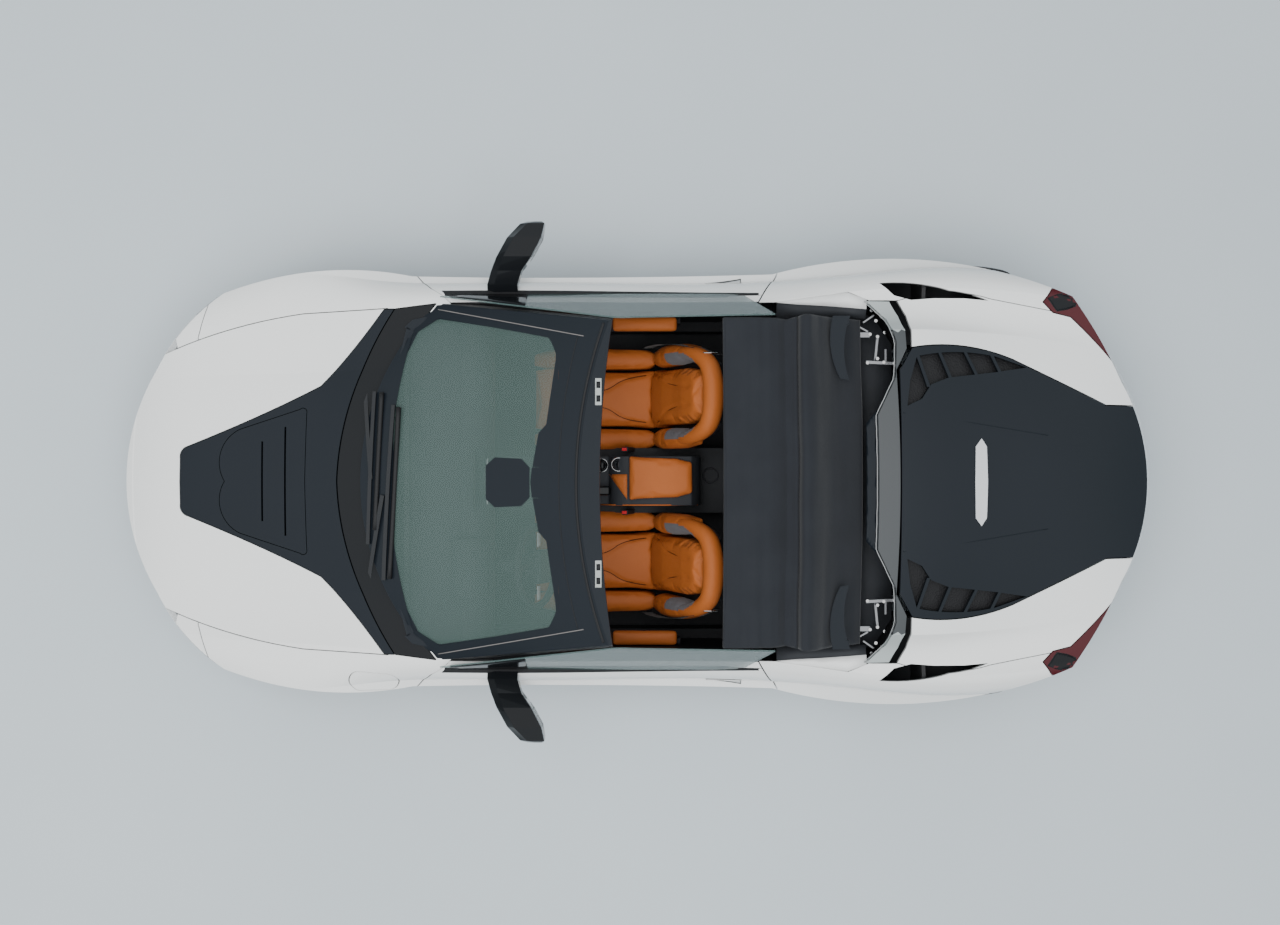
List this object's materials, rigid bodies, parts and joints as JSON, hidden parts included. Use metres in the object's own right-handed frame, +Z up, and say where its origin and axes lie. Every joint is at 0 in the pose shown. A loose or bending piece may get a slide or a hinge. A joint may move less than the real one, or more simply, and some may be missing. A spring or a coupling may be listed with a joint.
{
  "type": "roadster convertible",
  "caption": "Low two-seat roadster with upward-swinging doors, a part-folded soft top, steered front wheels and an opening rear lid.",
  "frame": {"origin": "ground under the middle of the car, at the middle of its length and width", "axes": "+X forward, +Y to the car's left, +Z up"},
  "size_m": [4.6909, 2.218, 1.3258],
  "materials": {
    "white_paint": "pearl gloss",
    "black_gloss": "gloss",
    "dark_glass": "tinted",
    "lamp_glass": "clear",
    "red_lamp": "gloss",
    "black_plastic": "matt",
    "dark_trim": "matt",
    "orange_leather": "satin",
    "black_cloth": "matt",
    "grey_metal": "satin",
    "tub_black": "satin",
    "bar_silver": "satin",
    "frame_alloy": "satin",
    "engine_metal": "matt",
    "battery_case": "matt",
    "tyre": "matt",
    "rim_alloy": "machined"
  },
  "bodies": {
    "body": {"front_bumper": "white_paint", "hood": "white_paint", "front_fenders": "white_paint", "rear_fenders": "white_paint", "rear_deck": "white_paint", "rear_bumper": "white_paint", "front_valance": "black_plastic", "wheel_liners": "black_plastic", "hood_band": "black_gloss", "grille": "black_gloss", "side_sills": "black_gloss", "diffuser": "black_plastic", "windscreen_frame": "black_gloss", "windscreen_glass": "dark_glass", "head_lamps": "lamp_glass", "tail_lamps": "red_lamp", "interior_mirror": "black_plastic", "wipers": "black_plastic", "dashboard": "dark_trim", "centre_console": "dark_trim", "seat_cushions": "orange_leather", "seat_backs": "orange_leather", "soft_top_cloth": "black_cloth", "soft_top_frame": "grey_metal", "floor_tub": "tub_black", "front_frame": "frame_alloy", "rear_frame": "frame_alloy", "undertray": "black_plastic", "engine_block": "engine_metal", "battery_pack": "battery_case", "suspension_arms": "frame_alloy"},
    "door_left": {"door_left": "white_paint", "door_trim_left": "orange_leather", "side_glass_left": "dark_glass", "door_mirror_left": "black_gloss"},
    "door_right": {"door_right": "white_paint", "door_trim_right": "orange_leather", "side_glass_right": "dark_glass", "door_mirror_right": "black_gloss"},
    "boot_lid": {"boot_lid": "black_gloss", "lid_bar": "bar_silver"},
    "top_cover": {"top_cover": "black_gloss"},
    "charge_flap": {"charge_flap": "white_paint"},
    "steering_wheel": {"steering_wheel": "dark_trim"},
    "knuckle_left": {"knuckle_left": "frame_alloy"},
    "knuckle_right": {"knuckle_right": "frame_alloy"},
    "wheel_front_left": {"tyre_front_left": "tyre", "rim_front_left": "rim_alloy"},
    "wheel_front_right": {"tyre_front_right": "tyre", "rim_front_right": "rim_alloy"},
    "wheel_rear_left": {"tyre_rear_left": "tyre", "rim_rear_left": "rim_alloy"},
    "wheel_rear_right": {"tyre_rear_right": "tyre", "rim_rear_right": "rim_alloy"}
  },
  "joints": [
    {"name": "door_left_open", "type": "hinge", "parent": "body", "child": "door_left", "pos_m": [0.975, 0.84, 0.86], "axis": [0, 0.7071, -0.7071], "range_deg": [0, 65]},
    {"name": "door_right_open", "type": "hinge", "parent": "body", "child": "door_right", "pos_m": [0.975, -0.84, 0.86], "axis": [0, 0.7071, 0.7071], "range_deg": [0, 65]},
    {"name": "boot_lid_open", "type": "hinge", "parent": "body", "child": "boot_lid", "pos_m": [-1.109, 0, 1.142], "axis": [0, 1, 0], "range_deg": [0, 50]},
    {"name": "top_cover_close", "type": "hinge", "parent": "body", "child": "top_cover", "pos_m": [-1.104, 0, 1.142], "axis": [0, -1, 0], "range_deg": [-12, 0]},
    {"name": "charge_flap_open", "type": "hinge", "parent": "body", "child": "charge_flap", "pos_m": [1.257, 0.88677, 0.81175], "axis": [0, 0.6428, -0.766], "range_deg": [0, 75]},
    {"name": "steering_wheel_turn", "type": "hinge", "parent": "body", "child": "steering_wheel", "pos_m": [0.44, 0.377, 0.735], "axis": [-0.9135, 0, 0.4067], "range_deg": [-495, 495]},
    {"name": "steer_left", "type": "hinge", "parent": "body", "child": "knuckle_left", "pos_m": [1.4, 0.745, 0.3], "axis": [0, 0, 1], "range_deg": [-35, 35]},
    {"name": "steer_right", "type": "hinge", "parent": "body", "child": "knuckle_right", "pos_m": [1.4, -0.745, 0.3], "axis": [0, 0, 1], "range_deg": [-35, 35]},
    {"name": "spin_front_left", "type": "hinge", "parent": "knuckle_left", "child": "wheel_front_left", "pos_m": [1.4, 0.822, 0.351], "axis": [0, 1, 0], "continuous": true},
    {"name": "spin_front_right", "type": "hinge", "parent": "knuckle_right", "child": "wheel_front_right", "pos_m": [1.4, -0.822, 0.351], "axis": [0, 1, 0], "continuous": true},
    {"name": "spin_rear_left", "type": "hinge", "parent": "body", "child": "wheel_rear_left", "pos_m": [-1.4, 0.8605, 0.351], "axis": [0, 1, 0], "continuous": true},
    {"name": "spin_rear_right", "type": "hinge", "parent": "body", "child": "wheel_rear_right", "pos_m": [-1.4, -0.8605, 0.351], "axis": [0, 1, 0], "continuous": true}
  ],
  "couplings": [
    {"joint": "steer_right", "follows": "steer_left", "ratio": 1},
    {"joint": "steering_wheel_turn", "follows": "steer_left", "ratio": 14}
  ]
}
